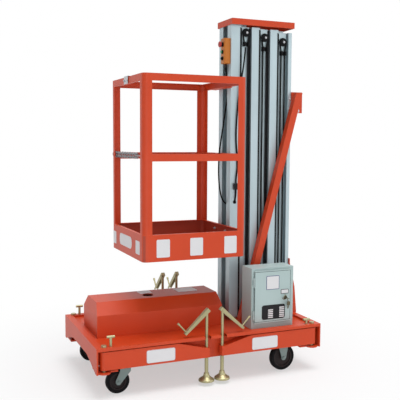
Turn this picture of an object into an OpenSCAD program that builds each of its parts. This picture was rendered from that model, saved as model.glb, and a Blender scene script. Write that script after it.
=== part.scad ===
// Vertical mast lift: push-around work platform on a telescopic aluminium mast.
// Millimetres. X runs along the chassis, from the basket's gate end (-X) to the mast end (+X).
// Z points up from the floor. The cabinet stands on the -Y side, taken as the front.

/* [Chassis] */
// overall length over the end plates
chassis_len = 1306; // [1290:1:1330]
// overall width over the deck lip
chassis_wid = 740; // [736:1:760]
// height of the deck lip above the floor
deck_z = 267; // [267:1:275]
// width of the raised lip around the tray
lip_w = 38; // [34:1:40]
// clear height between a swivel wheel and the corner lug above it
lug_clear = 8; // [6:1:11]

/* [Outriggers] */
// width of an arm
arm_w = 44; // [40:1:46]
// gap between the corner lug and the arm above it
arm_lift = 11; // [6:1:16]
// height of an arm's free end as a share of its height at the hinge
arm_tip_share = 0.53; // [0.48:0.01:0.6]

/* [Jacks] */
// diameter of the jack screw
screw_d = 16; // [14:1:17]
// wall thickness of the jack leg
leg_wall = 2; // [2:0.5:3]
// diameter of the bell-shaped foot
foot_d = 86; // [80:1:92]
// clear space between two feet side by side
foot_space = 6; // [6:1:12]
// gap under a raised foot
foot_gap = 20; // [16:1:26]
// length of the folding crank
crank_len = 168; // [150:1:168]
// how much higher the rear screws stand than the front ones
rear_screw_rise = 66; // [0:1:66]

/* [Casters] */
// diameter of the swivel wheels at the gate end
swivel_wheel_d = 125; // [118:1:125]
// diameter of the fixed wheels at the mast end
fixed_wheel_d = 150; // [144:1:150]
// width of every tyre
tyre_w = 34; // [30:1:36]
// how far the swivel wheels trail behind their stems
swivel_trail = 38; // [34:1:40]
// distance from a side rail's web to the middle of its wheels
caster_inset = 32; // [31:1:34]

/* [Mast] */
// height of the fixed outer section above the floor
mast_top = 1934; // [1900:1:1934]
// depth of the sections, front to back
mast_w = 160; // [156:1:164]
// step from one section to the next
mast_step = 120.5; // [120:0.5:122]
// distance from the mast to the end of the chassis
mast_inset = 49; // [46:1:49]
// wall thickness of the sections
mast_wall = 5; // [4:0.5:5]
// radius of the cable pulleys
pulley_r = 22; // [18:1:23]

/* [Basket] */
// length along the chassis
basket_len = 590; // [560:1:590]
// width across the chassis
basket_wid = 578; // [540:1:580]
// underside of the toe boards
basket_bottom = 671; // [660:1:680]
// top of the guard rail
basket_top = 1646; // [1600:1:1650]
// height of the toe boards
toe_h = 142; // [120:1:150]
// width of the corner posts
post_w = 50; // [44:1:54]
// height of the rails
rail_h = 38; // [34:1:42]

/* [Cabinet] */
// width of the control cabinet
cab_w = 265; // [240:1:266]
// clear deck between the cabinet and the mast's base plate
cab_gap = 59; // [55:1:70]
// height of the control cabinet
cab_h = 342; // [320:1:350]

/* [Power pack cover] */
// clear deck between the cover and the mast
cover_gap = 76; // [70:1:100]
// width of the cover
cover_wid = 296; // [280:1:310]
// height of the cover
cover_h = 182; // [170:1:190]

/* [Hidden] */
$fn = 48;

half_len = chassis_len / 2;
half_wid = chassis_wid / 2;
end_t = 8;
sheet = 4;
tray_drop = 12;
tray_z = deck_z - tray_drop;
tray_under = tray_z - sheet;
body_gap = 5;
run_fit = 0.05;
pad_gap = 0.3;

hinge_x = half_len - 44;
hinge_y = half_wid - arm_w / 2 - 3;
hinge_d = 20;
lug_t = 8;
lug_len = 110;
lug_wid = 95;
end_foot_z = swivel_wheel_d + lug_clear;
arm_top = tray_under - body_gap;
arm_bottom = end_foot_z + lug_t + arm_lift;
arm_h = arm_top - arm_bottom;
arm_tip_h = arm_h * arm_tip_share;
lock_x = half_len - 80;
jack_x = (foot_d + foot_space) / 2;
arm_reach = hinge_x - jack_x;
arm_taper = 175;
arm_sheet = 4;
arm_tip = arm_reach + 10;

rail_y = hinge_y - arm_w / 2 - body_gap;
rail_flange = 50;
rail_t = 5;
rail_step = 30;
rail_high = max(fixed_wheel_d, swivel_wheel_d) + 16;
rail_low = rail_high - rail_step;
swivel_bay = 223;
fixed_bay = 278;
cross_w = 40;
cross_h = 60;

leg_d = screw_d + 2 * leg_wall;
foot_h = 42;
leg_top = arm_bottom - 6;
screw_low = foot_gap + 34;
screw_top = deck_z + 131;
crank_w = 22;
crank_sheet = 3;
grip_len = 70;

swivel_x = -half_len + 168;
fixed_x = half_len - 204;
wheel_y = rail_y - caster_inset;
fork_t = 4;
tread_t = 18;

left_w = 62;
section_gap = 6;
end_box_w = 22;
middle_w = mast_step - left_w - section_gap;
mast_right = half_len - mast_inset;
mast_x = mast_right - 2 * (left_w + mast_step) - section_gap - end_box_w;
foot_plate_t = 12;
foot_plate_w = mast_w + 76;
foot_plate_x = mast_x + 44;
section_bottom = tray_z + foot_plate_t + 8;
recess = 14;
strip_w = 52;
groove_deep = 20;
tongue_head = mast_w - 60;
tongue_neck = mast_w - 110;
neck_len = section_gap + mast_wall + body_gap;
head_deep = 32;
lip_slot = tongue_neck + 12;
cap_z = mast_top + 23;
cap_height = 34;
cap_over = 18;
cap_sheet = 3;
section_b_top = cap_z - 7;
section_c_top = cap_z - 12;

rope_d = 9;
rope_x = 12;
pulley_drop = [17, 38, 56];
guide_drop = 54 + pulley_r;
guide_h = 24;

end_plate_h = 345;
clamp_z = mast_top - 465;
clamp_h = 122;
bracket_t = 6;
bracket_x = mast_right + 71;
cheek_y = mast_w / 2 + 10;
brace_w = 40;
brace_wall = 3;

cover_x = -half_len + lip_w + 23;
cover_len = mast_x - cover_gap - cover_x;
cover_y = 1 - cover_wid / 2;
cover_inset_x = 11;
cover_inset_y = 56;
cover_slope_h = 62;
cover_hole = [324, 125, 62];
cover_sheet = 3;
pack_gap = [60, 58, 82];

cab_x = mast_x + 36;
cab_y = -half_wid + lip_w + 27;
cab_d = -foot_plate_w / 2 - cab_gap - cab_y;
cab_sheet = 3;
knuckle_z = [62, 250];

basket_x = mast_x - 3 - basket_len;
floor_z = basket_bottom + 22;
floor_t = 3;
basket_sheet = 4;
corner_r = 26;
rail_flange_w = 28;
rail_lip_w = 12;
mid_rail_z = basket_bottom + 524;
chain_z = mid_rail_z + 27;
chain_x = 16;
strand_z = 9;
link_len = 34;
link_w = 18;
link_count = 17;
wire_d = 5;
hook_wire_d = 6;
hook_w = 19;
link_gap = 0.4;

pendant_h = 142;
relief_h = 18;
cord_d = 9;
cord_route = [[-11, -28, 76], [-7, -27, 54], [5, -24, 9], [7, -22, -46], [2, -21, -116],
    [-11, -20, -206], [-27, -18, -316], [-39, -15, -406], [-41, -12, -466], [-40, -10, -546],
    [-33, -12, -626], [-19, -16, -681], [5, -19, -708], [33, -20, -712], [57, -20, -712]];
cable_route = [[81, -17, 186], [78, -17, 144], [68, -16, 64], [55, -12, -26], [43, -8, -126],
    [35, -6, -246], [34, -5, -336], [42, -5, -436], [43, -5, -496], [36, -6, -556], [35, -6, -586]];
cord_points = [for (p = cord_route) p + [mast_x, 0, basket_top]];
cable_points = [for (p = cable_route) p + [mast_x, -mast_w / 2, basket_top]];

sides = [[-1, -1], [1, -1], [-1, 1], [1, 1]];

crank_drop = 42;
crank_reach = (crank_len - 6) * cos(crank_drop) + (3 + grip_len) * sin(crank_drop);
front_reach = hinge_y + foot_d / 2;
rear_reach = hinge_y + crank_reach;
centre = [(half_len - bracket_x) / 2, (front_reach - rear_reach) / 2, 0];

// The chassis centre stands off the origin so that the origin lies under the middle of the whole.
module machine() translate(centre) children();

// Chassis
module end_profile() {
    arch = [[0.42, 52], [0.6, 37], [0.81, 13], [0.93, 0]];
    z0 = end_foot_z;
    pts = concat(
        [[-half_wid, deck_z], [-half_wid, z0]],
        [for (i = [3:-1:0]) [-half_wid * arch[i][0], z0 + arch[i][1]]],
        [for (i = [0:3]) [half_wid * arch[i][0], z0 + arch[i][1]]],
        [[half_wid, z0], [half_wid, deck_z]]);
    polygon(pts);
}

module corner_lug() {
    difference() {
        union() {
            translate([hinge_x, hinge_y, end_foot_z]) cylinder(h = lug_t, r = 34);
            translate([half_len - end_t - lug_len, hinge_y - lug_wid, end_foot_z])
                cube([lug_len, lug_wid, lug_t]);
            translate([hinge_x, hinge_y - 20, end_foot_z])
                cube([half_len - end_t - hinge_x, 38, lug_t]);
        }
        translate([hinge_x, hinge_y, end_foot_z - 1]) cylinder(h = lug_t + 2, d = hinge_d);
    }
}

module side_rail() {
    inner = half_len - end_t;
    left = -half_len + swivel_bay;
    right = half_len - fixed_bay;
    web = [[-inner, rail_high], [left, rail_high], [left + rail_step, rail_low],
        [right - rail_step, rail_low], [right, rail_high], [inner, rail_high], [inner, tray_under],
        [-inner, tray_under]];
    translate([0, -rail_y + rail_t, 0]) rotate([90, 0, 0]) linear_extrude(rail_t) polygon(web);
    for (span = [[-inner, left, rail_high], [left + rail_step, right - rail_step, rail_low],
            [right, inner, rail_high]])
        translate([span[0], -rail_y, span[2]])
            cube([span[1] - span[0], rail_flange + 18, rail_t]);
    translate([-inner, -rail_y, tray_under - rail_t]) cube([2 * inner, rail_flange, rail_t]);
}

module chassis_frame() color([0.78, 0.27, 0.16]) machine() {
    for (s = [-1, 1]) {
        translate([s > 0 ? half_len - end_t : -half_len, 0, 0]) rotate([90, 0, 90])
            linear_extrude(end_t) end_profile();
        scale([1, s, 1]) side_rail();
    }
    for (s = sides) scale([s[0], s[1], 1]) corner_lug();
    for (x = [-half_len + 353, mast_x + 24, half_len - 93])
        translate([x, -rail_y + rail_t, tray_under - cross_h])
            cube([cross_w, 2 * (rail_y - rail_t), cross_h]);
}

module deck_notch(x, y, w) {
    translate([x, y, tray_under - 1]) cylinder(h = 40, d = w);
    translate([x - w / 2, y < 0 ? -half_wid - 1 : y, tray_under - 1])
        cube([w, half_wid + 1 - abs(y), 40]);
}

module deck_tray() color([0.82, 0.29, 0.17]) machine() difference() {
    inner_x = half_len - end_t;
    union() {
        translate([-inner_x, -half_wid, tray_under]) cube([2 * inner_x, chassis_wid, sheet]);
        difference() {
            translate([-inner_x, -half_wid, tray_under])
                cube([2 * inner_x, chassis_wid, deck_z - tray_under]);
            translate([-half_len + lip_w, -half_wid + lip_w, tray_z])
                cube([chassis_len - 2 * lip_w, chassis_wid - 2 * lip_w, 40]);
            difference() {
                translate([-inner_x - 1, -half_wid + sheet, tray_z])
                    cube([2 * inner_x + 2, chassis_wid - 2 * sheet, deck_z - tray_z - sheet]);
                translate([-half_len + lip_w - sheet, -half_wid + lip_w - sheet, tray_z - 1])
                    cube([chassis_len - 2 * lip_w + 2 * sheet,
                        chassis_wid - 2 * lip_w + 2 * sheet, 40]);
            }
        }
    }
    for (s = sides) {
        deck_notch(s[0] * jack_x, s[1] * hinge_y, 34);
        translate([s[0] * hinge_x, s[1] * hinge_y, tray_under - 1]) cylinder(h = 40, d = hinge_d);
        translate([s[0] * lock_x, s[1] * hinge_y, tray_under - 1]) cylinder(h = 40, d = 14);
    }
}

module chassis_pins() color([0.80, 0.74, 0.50]) machine() for (s = sides) scale([s[0], s[1], 1]) {
    lift = s[0] < 0 ? 50 : 26;
    translate([hinge_x, hinge_y, end_foot_z - 6]) cylinder(h = 6, d = 30, $fn = 6);
    translate([hinge_x, hinge_y, end_foot_z]) cylinder(h = deck_z - end_foot_z, d = hinge_d);
    translate([hinge_x, hinge_y, deck_z]) cylinder(h = 10, d = 30, $fn = 6);
    translate([lock_x, hinge_y, tray_under]) cylinder(h = deck_z - tray_under + lift, d = 14);
    translate([lock_x - 20, hinge_y, deck_z + lift]) rotate([0, 90, 0]) cylinder(h = 40, d = 14);
}

// Deck equipment
module cover_solid(inset) {
    x0 = cover_x + inset;
    y0 = cover_y + inset;
    l = cover_len - 2 * inset;
    w = cover_wid - 2 * inset;
    h = cover_h - inset;
    intersection() {
        translate([x0, y0 + w, tray_z]) rotate([90, 0, 0]) linear_extrude(w)
            polygon([[0, 0], [l, 0], [l, h - cover_slope_h], [l - cover_inset_x, h], [cover_inset_x, h],
                [0, h - cover_slope_h]]);
        translate([x0, y0, tray_z]) rotate([90, 0, 90]) linear_extrude(l)
            polygon([[0, 0], [w, 0], [w, h - cover_slope_h], [w - cover_inset_y, h], [cover_inset_y, h],
                [0, h - cover_slope_h]]);
    }
}

module power_cover() color([0.80, 0.28, 0.16]) machine() difference() {
    cover_solid(0);
    translate([0, 0, -0.01]) cover_solid(cover_sheet);
    translate([cover_x + cover_hole[0], cover_y + cover_hole[1], tray_z])
        cylinder(h = cover_h + 1, d = cover_hole[2]);
}

module power_pack() color([0.25, 0.26, 0.28]) machine()
    translate([cover_x + pack_gap[0], cover_y + pack_gap[1], tray_z])
        cube([cover_len - 2 * pack_gap[0], cover_wid - 2 * pack_gap[1], cover_h - pack_gap[2]]);

module cabinet_box() color([0.66, 0.72, 0.69]) machine() {
    for (z = knuckle_z, up = [-12 - pad_gap, 30 + pad_gap])
        translate([cab_x + 11, cab_y + 3, tray_z + z + up]) {
            cylinder(h = 12, d = 8);
            translate([-4, 0, 0]) cube([4, 10, 12]);
        }
    difference() {
        translate([cab_x, cab_y + 11, tray_z]) cube([cab_w, cab_d - 11, cab_h]);
        translate([cab_x + cab_sheet, cab_y + 11 + cab_sheet, tray_z + cab_sheet])
            cube([cab_w - 2 * cab_sheet, cab_d - 11 - 2 * cab_sheet, cab_h - 2 * cab_sheet]);
        translate([cab_x + 20, cab_y, tray_z + 38]) cube([cab_w - 40, 20, cab_h - 54]);
    }
}

module cabinet_door() color([0.68, 0.74, 0.71]) machine() {
    translate([cab_x + 16, cab_y, tray_z + 32]) cube([cab_w - 32, 5, cab_h - 44]);
    for (z = knuckle_z) translate([cab_x + 11, cab_y + 3, tray_z + z]) {
        cylinder(h = 30, d = 8);
        translate([0, -1, 0]) cube([8, 2, 30]);
    }
    translate([cab_x + cab_w - 66, cab_y, tray_z + 172]) rotate([90, 0, 0]) cylinder(h = 10, d = 24);
}

// Mast
module section_left(x) {
    y = mast_w / 2;
    difference() {
        translate([x, -y]) square([left_w, 2 * y]);
        translate([x + mast_wall, -y + mast_wall])
            square([left_w - 2 * mast_wall, 2 * (y - mast_wall)]);
        translate([x - 1, -lip_slot / 2]) square([mast_wall + 2, lip_slot]);
    }
}

module section_strip(x) {
    y = mast_w / 2 - recess;
    floor_y = y - groove_deep;
    difference() {
        union() {
            translate([x, -y]) square([strip_w, 2 * y]);
            translate([x, -floor_y]) square([left_w + 1, 2 * floor_y]);
        }
        translate([x + mast_wall, -y + mast_wall])
            square([strip_w - 2 * mast_wall, 2 * (y - mast_wall)]);
        translate([x + mast_wall, -floor_y + mast_wall])
            square([left_w - 2 * mast_wall, 2 * (floor_y - mast_wall)]);
        translate([x - 1, -lip_slot / 2]) square([mast_wall + 2, lip_slot]);
    }
}

module section_tongue(x) {
    translate([x - 1, -tongue_neck / 2]) square([neck_len + 2, tongue_neck]);
    difference() {
        translate([x + neck_len, -tongue_head / 2]) square([head_deep, tongue_head]);
        translate([x + neck_len + mast_wall, -tongue_head / 2 + mast_wall])
            square([head_deep - 2 * mast_wall, tongue_head - 2 * mast_wall]);
    }
}

module section_box(x, w) {
    difference() {
        translate([x, -mast_w / 2]) square([w, mast_w]);
        translate([x + mast_wall, -mast_w / 2 + mast_wall])
            square([w - 2 * mast_wall, mast_w - 2 * mast_wall]);
    }
}

function section_x(i) = mast_x + left_w + section_gap + (i - 1) * mast_step;

module slide_pads(x, top) {
    inner = mast_w / 2 - recess - mast_wall;
    head_x = x - section_gap + neck_len;
    for (s = [-1, 1], z = [top - 100, top - 300]) {
        translate([head_x + 4, s > 0 ? tongue_head / 2 + pad_gap : -inner, z])
            cube([head_deep - 4, inner - tongue_head / 2 - pad_gap, 80]);
        translate([x + mast_wall, s > 0 ? lip_slot / 2 + 2 : -tongue_head / 2 + 2, z])
            cube([head_x - x - mast_wall - pad_gap, tongue_head / 2 - lip_slot / 2 - 4, 80]);
    }
}

module middle_section(i, top) {
    x = section_x(i);
    translate([0, 0, section_bottom]) linear_extrude(top - section_bottom) {
        section_strip(x);
        section_box(x + left_w, middle_w);
        section_tongue(x + mast_step - section_gap);
    }
    slide_pads(x, top);
}

module mast_section_a() color([0.74, 0.80, 0.82]) machine() {
    clip = cable_points[len(cable_points) - 1];
    translate([clip[0] - 16, -mast_w / 2 - 14, clip[2] - 36]) cube([32, 14, 36]);
    translate([0, 0, section_bottom])
        linear_extrude(cap_z + cap_height - cap_sheet - section_bottom) {
            section_left(mast_x);
            section_tongue(mast_x + left_w);
        }
}

module mast_section_b() color([0.73, 0.79, 0.81]) machine() middle_section(1, section_b_top);
module mast_section_c() color([0.72, 0.78, 0.80]) machine() middle_section(2, section_c_top);

module mast_section_d() color([0.71, 0.77, 0.79]) machine() {
    x = section_x(3);
    translate([0, 0, tray_z + foot_plate_t])
        linear_extrude(mast_top - tray_z - foot_plate_t) {
            section_strip(x);
            section_box(x + left_w, end_box_w);
        }
    for (s = [-1, 1]) scale([1, s, 1])
        translate([x + left_w + 2, -mast_w / 2 - bracket_t, clamp_z + 2])
            cube([end_box_w - 4, bracket_t, clamp_h - 24]);
    slide_pads(x, mast_top);
}

module brace() {
    foot = [mast_x + 65, tray_z];
    head = [mast_right + 22, mast_top - 374];
    lean = atan((head[0] - foot[0]) / (head[1] - foot[1]));
    long = norm(head - foot) + 2 * brace_w;
    intersection() {
        translate([foot[0], -cheek_y - brace_w, foot[1]]) rotate([0, lean, 0])
            translate([-brace_w / 2, 0, -brace_w]) difference() {
                cube([brace_w, brace_w, long]);
                translate([brace_wall, brace_wall, -1])
                    cube([brace_w - 2 * brace_wall, brace_w - 2 * brace_wall, long + 2]);
            }
        translate([0, -half_wid, tray_z]) cube([bracket_x, chassis_wid, head[1] + 24 - tray_z]);
    }
}

module mast_mounts() color([0.80, 0.28, 0.16]) machine() {
    translate([foot_plate_x, -foot_plate_w / 2, tray_z])
        cube([mast_right + 4 - foot_plate_x, foot_plate_w, foot_plate_t]);
    for (e = [[tray_z, end_plate_h], [clamp_z, clamp_h]])
        translate([mast_right, -cheek_y, e[0]]) cube([bracket_t, 2 * cheek_y, e[1]]);
    for (s = [-1, 1]) scale([1, s, 1]) {
        translate([mast_right, -cheek_y, clamp_z])
            cube([bracket_x - mast_right, bracket_t, clamp_h]);
        translate([0, -cheek_y + bracket_t, 0]) rotate([90, 0, 0]) linear_extrude(bracket_t)
            polygon([[mast_right, tray_z], [half_len - lip_w, tray_z], [half_len - lip_w, deck_z],
                [bracket_x - 15, deck_z], [bracket_x - 30, tray_z + end_plate_h / 2],
                [mast_right, tray_z + end_plate_h]]);
        brace();
    }
}

module sheave(r) rotate([90, 0, 0]) {
    rotate_extrude() polygon([[6, -7], [r, -7], [r, -5.5], [r - 5, -3], [r - 5, 3], [r, 5.5],
        [r, 7], [6, 7]]);
    cylinder(h = 16, d = 13, center = true);
}

module strand(from, to, d) {
    v = to - from;
    translate(from) rotate([0, acos(v[2] / norm(v)), atan2(v[1], v[0])])
        cylinder(h = norm(v), d = d);
}

module pulley_set(i, base, strands) {
    x = section_x(i) + 29;
    y = -mast_w / 2 + recess;
    z = mast_top - pulley_drop[i - 1];
    hub_y = y - 8;
    guide_z = z - guide_drop;
    over = pulley_r - 5 + rope_d / 2 - 0.5;
    translate([x, hub_y, z]) {
        sheave(pulley_r);
        rotate([90, 0, 0]) {
            rotate_extrude(angle = 180) translate([over, 0]) circle(d = rope_d);
            translate([0, 0, 7]) cylinder(h = 5, d = 15, $fn = 6);
        }
    }
    for (s = [-1, 1]) {
        strand([x + s * over, hub_y, z], [x + s * rope_x, hub_y, guide_z + guide_h - 2], rope_d);
        translate([x + s * rope_x, y, guide_z]) {
            translate([-7, -16, 0]) cube([14, 16, guide_h]);
            translate([0, -16, 0]) cylinder(h = guide_h, d = 14);
        }
    }
    translate([x - rope_x, y - 10, guide_z + 4]) cube([2 * rope_x, 10, 16]);
    for (s = strands)
        translate([x + s * rope_x, hub_y, base]) cylinder(h = guide_z - base, d = rope_d);
}

module pulley_set_b() color([0.08, 0.08, 0.09]) machine()
    pulley_set(1, section_bottom, [1]);

module pulley_set_c() color([0.08, 0.08, 0.09]) machine()
    pulley_set(2, section_bottom, [-1, 1]);

module pulley_set_d() color([0.08, 0.08, 0.09]) machine()
    pulley_set(3, tray_z + foot_plate_t, [-1, 1]);

module mast_cap() color([0.82, 0.29, 0.17]) machine() {
    x = mast_x - cap_sheet - 1;
    size = [mast_right + 7 - x, mast_w + 2 * cap_over, cap_height];
    translate([x, -size[1] / 2, cap_z]) difference() {
        cube(size);
        translate([cap_sheet, cap_sheet, -1])
            cube([size[0] - 2 * cap_sheet, size[1] - 2 * cap_sheet, cap_height - cap_sheet + 1]);
    }
}

// Basket
module plan_outline(inset) {
    r = corner_r - min(inset, corner_r - 2);
    x = [basket_x + inset + r, basket_x + basket_len - inset - r];
    y = basket_wid / 2 - inset - r;
    for (cx = x, cy = [-y, y]) translate([cx, cy]) circle(r = r);
    translate([x[0] - r, -y]) square([x[1] - x[0] + 2 * r, 2 * y]);
    translate([x[0], -y - r]) square([x[1] - x[0], 2 * y + 2 * r]);
}

module plan_band(z, h, wide) translate([0, 0, z]) linear_extrude(h) difference() {
    plan_outline(0);
    plan_outline(wide);
}

module angle_rail(z) {
    plan_band(z, rail_h, basket_sheet);
    plan_band(z + rail_h - basket_sheet, basket_sheet, rail_flange_w);
    plan_band(z, basket_sheet, rail_lip_w);
}

module corner_posts() {
    low = basket_bottom + toe_h;
    intersection() {
        plan_band(low, basket_top - low, basket_sheet);
        for (sx = [0, 1], sy = [0, 1])
            translate([basket_x - 1 + sx * (basket_len - post_w + 1),
                -basket_wid / 2 - 1 + sy * (basket_wid - post_w + 1), low])
                cube([post_w + 1, post_w + 1, basket_top - low]);
    }
}

module basket_frame() color([0.80, 0.28, 0.16]) machine() {
    corner_posts();
    angle_rail(basket_top - rail_h);
    difference() {
        angle_rail(mid_rail_z);
        translate([basket_x - 1, -basket_wid / 2 + post_w, mid_rail_z - 1])
            cube([basket_len / 2, basket_wid - 2 * post_w, rail_h + 2]);
        translate([basket_x + basket_sheet, -basket_wid / 2 + basket_sheet, mid_rail_z - 1])
            cube([rail_flange_w, basket_wid - 2 * basket_sheet, rail_h + 2]);
    }
}

module basket_tray() color([0.78, 0.27, 0.16]) machine() {
    rib_h = floor_z - floor_t - basket_bottom;
    plan_band(basket_bottom, toe_h, basket_sheet);
    plan_band(basket_bottom + toe_h - basket_sheet, basket_sheet, 16);
    plan_band(basket_bottom, basket_sheet, 30);
    translate([0, 0, floor_z - floor_t]) linear_extrude(floor_t) plan_outline(basket_sheet / 2);
    for (y = [-180, -60, 60, 180])
        translate([basket_x + 20, y - 20, basket_bottom]) difference() {
            cube([basket_len - 40, 40, rib_h]);
            translate([-1, floor_t, -1])
                cube([basket_len - 38, 40 - 2 * floor_t, rib_h - floor_t + 1]);
        }
}

module basket_bracket() color([0.78, 0.27, 0.16]) machine() {
    top = basket_top - rail_h;
    translate([0, 0, top - 6]) linear_extrude(6)
        polygon([[mast_x - 46, -100], [mast_x, -100], [mast_x, 125], [mast_x - 46, 110]]);
    for (s = [[top - 76, 70], [basket_bottom + 24, 100]], y = [4 - mast_w / 2, mast_w / 2 - 44])
        translate([mast_x - 3, y, s[0]]) cube([3, 40, s[1]]);
}

module chain_link(long, wide, wire) {
    r = wide / 2 - wire / 2;
    straight = long - wide;
    for (e = [-1, 1]) {
        translate([0, e * straight / 2, 0]) rotate([0, 0, e > 0 ? 0 : 180])
            rotate_extrude(angle = 180) translate([r, 0]) circle(d = wire);
        translate([e * r, straight / 2, 0]) rotate([90, 0, 0]) cylinder(h = straight, d = wire);
    }
}

module chain_eye() {
    translate([chain_x, 0, -18]) cylinder(h = 36, d = wire_d);
    for (z = [-18, 14]) translate([basket_sheet, -6, z])
        cube([chain_x + wire_d - basket_sheet, 12, 4]);
    translate([basket_sheet, -6, -18]) cube([2, 12, 36]);
}

module gate_chain() color([0.75, 0.76, 0.78]) machine() {
    pitch = link_len - 2 * wire_d - link_gap;
    seat = link_len / 2 - 1.5 * wire_d - link_gap;
    eye_y = basket_wid / 2 - post_w + 17;
    first = eye_y - seat;
    last = first - (link_count - 1) * pitch;
    hook_bar = last - seat;
    hook_len = hook_bar + eye_y + wire_d + 2 * (link_gap + hook_wire_d);
    translate([basket_x, 0, chain_z]) {
        for (z = [-strand_z, strand_z], i = [0:link_count - 1])
            translate([chain_x, first - i * pitch, z])
                rotate([0, i % 2 == 0 ? 12 : 102, 0]) chain_link(link_len, link_w, wire_d);
        for (s = [-1, 1]) translate([0, s * eye_y, 0]) chain_eye();
        translate([chain_x, hook_bar, -18]) cylinder(h = 36, d = wire_d);
        translate([chain_x, (hook_bar - eye_y) / 2, 0]) chain_link(hook_len, hook_w, hook_wire_d);
        translate([chain_x, basket_wid / 2 + 22, 0]) rotate([0, 90, 0])
            chain_link(36, 22, wire_d);
        translate([chain_x - 6, basket_wid / 2, -6]) cube([12, 5, 12]);
    }
}

module pendant() color([0.85, 0.35, 0.15]) machine() {
    start = cord_points[0];
    x = mast_x - 36;
    y = [10 - mast_w / 2, start[1] + 14];
    z = start[2] + relief_h;
    difference() {
        translate([x, y[0], z]) cube([36, y[1] - y[0], pendant_h]);
        for (e = y) translate([x, e, z - 1]) rotate([0, 0, 45])
            translate([-5, -5, 0]) cube([10, 10, pendant_h + 2]);
    }
    translate(start) cylinder(h = relief_h, d = 16);
}

function unit(v) = v / norm(v);
function curve(a, b, c, d, t) =
    0.5 * (2 * b + (c - a) * t + (2 * a - 5 * b + 4 * c - d) * t * t
        + (3 * b - a - 3 * c + d) * t * t * t);
function route_point(r, i) = r[max(0, min(len(r) - 1, i))];
function smooth_route(r, steps) = concat(
    [for (i = [0:len(r) - 2], k = [0:steps - 1])
        curve(route_point(r, i - 1), r[i], r[i + 1], route_point(r, i + 2), k / steps)],
    [r[len(r) - 1]]);

module swept_cord(route, d, steps, sides) {
    path = smooth_route(route, steps);
    last = len(path) - 1;
    rings = [for (i = [0:last])
        let (t = unit(path[min(last, i + 1)] - path[max(0, i - 1)]),
            n = unit(cross([0, 1, 0], t)), b = cross(t, n))
        for (k = [0:sides - 1])
            path[i] + d / 2 * (n * cos(k * 360 / sides) + b * sin(k * 360 / sides))];
    walls = [for (i = [0:last - 1], k = [0:sides - 1])
        let (a = i * sides + k, b = i * sides + (k + 1) % sides)
        [a, a + sides, b + sides, b]];
    caps = [[for (k = [0:sides - 1]) k], [for (k = [sides - 1:-1:0]) last * sides + k]];
    polyhedron(rings, concat(walls, caps));
}

module pendant_cord() color([0.08, 0.08, 0.09]) machine()
    swept_cord(cord_points, cord_d, 5, 8);

module platform_cable() color([0.08, 0.08, 0.09]) machine()
    swept_cord(cable_points, cord_d, 5, 8);

// Outriggers
module arm_side(t) polygon([[t, arm_bottom + t], [arm_tip - t, arm_bottom + t],
    [arm_tip - t, arm_bottom + arm_tip_h - t], [arm_tip - 10 - t / 4, arm_bottom + arm_tip_h - t],
    [arm_tip - arm_taper - t / 4, arm_top - t], [t, arm_top - t]]);

module arm() {
    difference() {
        union() {
            translate([0, arm_w / 2, 0]) rotate([90, 0, 0]) linear_extrude(arm_w) difference() {
                arm_side(0);
                arm_side(arm_sheet);
            }
            translate([0, -arm_w / 2 + arm_sheet, 0]) rotate([90, 0, 0])
                linear_extrude(arm_sheet) arm_side(0);
            translate([0, 0, arm_bottom]) cylinder(h = arm_h, d = arm_w);
            translate([arm_reach, 0, arm_bottom]) cylinder(h = arm_tip_h, d = screw_d + 12);
        }
        translate([0, 0, arm_bottom - 1]) cylinder(h = arm_h + 2, r = hinge_d / 2 + run_fit);
        translate([arm_reach, 0, arm_bottom - 1]) cylinder(h = arm_h, d = screw_d);
    }
}

module place_arm(s) translate([s[0] * hinge_x, s[1] * hinge_y, 0]) scale([-s[0], -s[1], 1]) children();

module arm_front_left() color([0.80, 0.28, 0.16]) machine() place_arm([-1, -1]) arm();
module arm_front_right() color([0.80, 0.28, 0.16]) machine() place_arm([1, -1]) arm();
module arm_rear_left() color([0.80, 0.28, 0.16]) machine() place_arm([-1, 1]) arm();
module arm_rear_right() color([0.80, 0.28, 0.16]) machine() place_arm([1, 1]) arm();

module crank() {
    half_w = [11, 6];
    rotate([90, 0, 0]) difference() {
        translate([0, 0, -crank_w / 2]) linear_extrude(crank_w)
            polygon([[-15, -half_w[0]], [-15, half_w[0]], [crank_len, half_w[1]],
                [crank_len, -half_w[1]]]);
        translate([0, 0, -crank_w / 2 + crank_sheet]) linear_extrude(crank_w - 2 * crank_sheet)
            polygon([[screw_d / 2, -half_w[0] - 1], [screw_d / 2, half_w[0] - crank_sheet],
                [crank_len + 1, half_w[1] - crank_sheet], [crank_len + 1, -half_w[1] - 1]]);
    }
    rotate([90, 0, 0]) translate([0, 0, -crank_w / 2 - 3]) cylinder(h = crank_w + 6, d = 8);
    translate([crank_len - 12, 0, half_w[1] - 3]) cylinder(h = grip_len, d = 9);
    translate([crank_len - 12, 0, half_w[1] + grip_len - 16]) cylinder(h = 13, d = 12);
}

module screw(turn, rise) {
    translate([0, 0, screw_low]) cylinder(h = screw_top + rise - 4 - screw_low, d = screw_d);
    translate([0, 0, screw_top + rise]) rotate([0, 0, turn]) rotate([0, crank_drop, 0]) crank();
}

module screw_front_left() color([0.72, 0.66, 0.45]) machine()
    translate([-jack_x, -hinge_y, 0]) screw(180, 0);
module screw_front_right() color([0.72, 0.66, 0.45]) machine()
    translate([jack_x, -hinge_y, 0]) screw(0, 0);
module screw_rear_left() color([0.72, 0.66, 0.45]) machine()
    translate([-jack_x, hinge_y, 0]) screw(90, rear_screw_rise);
module screw_rear_right() color([0.72, 0.66, 0.45]) machine()
    translate([jack_x, hinge_y, 0]) screw(90, rear_screw_rise);

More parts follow.
